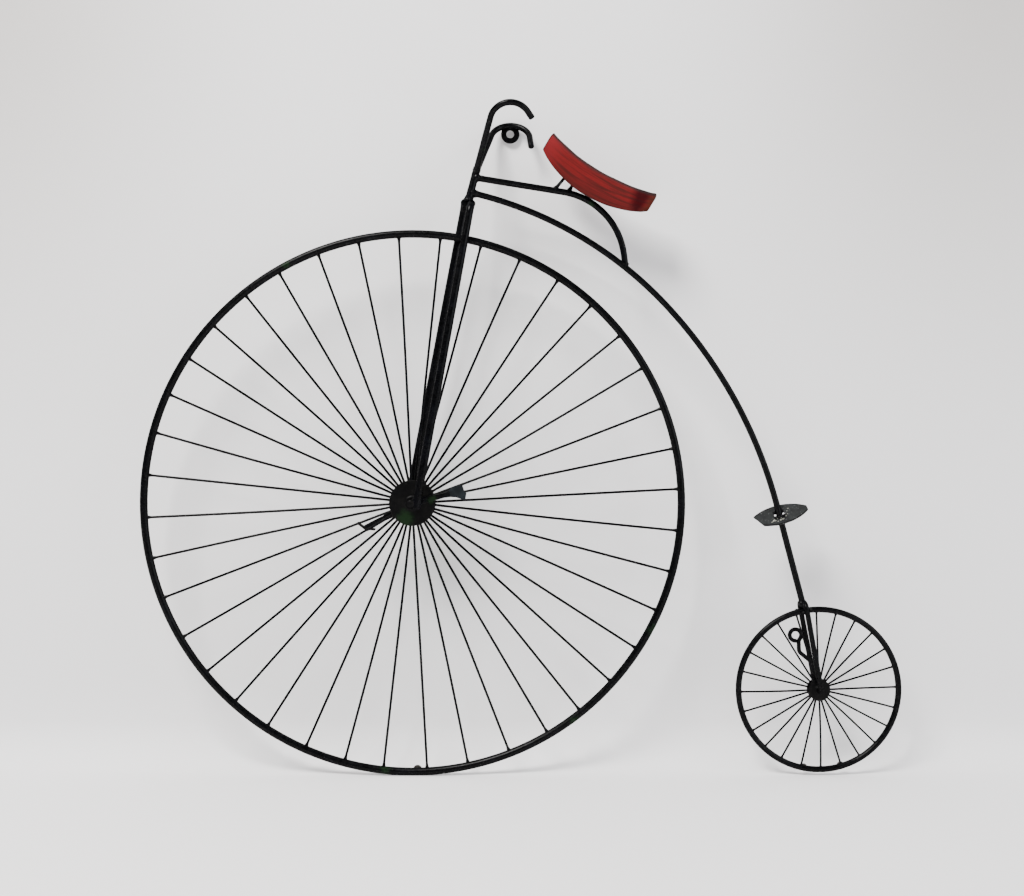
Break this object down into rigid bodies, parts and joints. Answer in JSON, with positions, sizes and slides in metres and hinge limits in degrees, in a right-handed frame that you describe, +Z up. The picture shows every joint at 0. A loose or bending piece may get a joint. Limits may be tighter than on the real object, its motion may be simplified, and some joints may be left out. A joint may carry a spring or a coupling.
{
  "type": "penny-farthing wall sculpture",
  "caption": "Wall-hung penny-farthing of welded rod: a big spoked front wheel with cranks, a small rear wheel, an arched red saddle, hooked handlebars and a washer to hang it by.",
  "frame": {"origin": "middle of the bounding box's bottom face: under the front wheel's lowest point in Z, and the wheels' plane in Y", "axes": "+X from the big front wheel to the small rear one, +Y towards the wall, +Z up"},
  "size_m": [0.8379, 0.102, 0.7307],
  "materials": {
    "black_paint": "worn satin black over welded steel",
    "red_enamel": "streaked translucent red over steel",
    "grey_steel": "dull grey-green with worn edges",
    "rubber": "matt"
  },
  "bodies": {
    "frame": {"head_rod": "black_paint", "backbone": "black_paint", "seat_rod": "black_paint", "handlebar_near": "black_paint", "handlebar_far": "black_paint", "hanging_washer": "black_paint", "fork_leg_near": "black_paint", "fork_leg_far": "black_paint", "front_axle": "black_paint", "saddle": "red_enamel", "saddle_strut_front": "black_paint", "saddle_strut_rear": "black_paint", "step_plate": "grey_steel", "rear_fork_leg_near": "black_paint", "rear_fork_leg_far": "black_paint", "rear_axle": "black_paint", "wire_hanger": "black_paint", "frame_welds": "black_paint"},
    "front_wheel": {"front_rim": "black_paint", "front_spokes": "black_paint", "front_hub_barrel": "black_paint", "front_disc_near": "black_paint", "front_disc_far": "black_paint", "crank_near": "black_paint", "crank_far": "black_paint", "pedal_near": "grey_steel", "pedal_far": "grey_steel", "front_bumper": "rubber"},
    "rear_wheel": {"rear_rim": "black_paint", "rear_spokes": "black_paint", "rear_hub_barrel": "black_paint", "rear_disc_near": "black_paint", "rear_disc_far": "black_paint", "rear_bumpers": "rubber"}
  },
  "joints": [
    {"name": "front_wheel_spin", "type": "hinge", "parent": "frame", "child": "front_wheel", "pos_m": [-0.119, 0, 0.3], "axis": [0, -1, 0], "continuous": true},
    {"name": "rear_wheel_spin", "type": "hinge", "parent": "frame", "child": "rear_wheel", "pos_m": [0.328, 0, 0.0945], "axis": [0, -1, 0], "continuous": true}
  ]
}
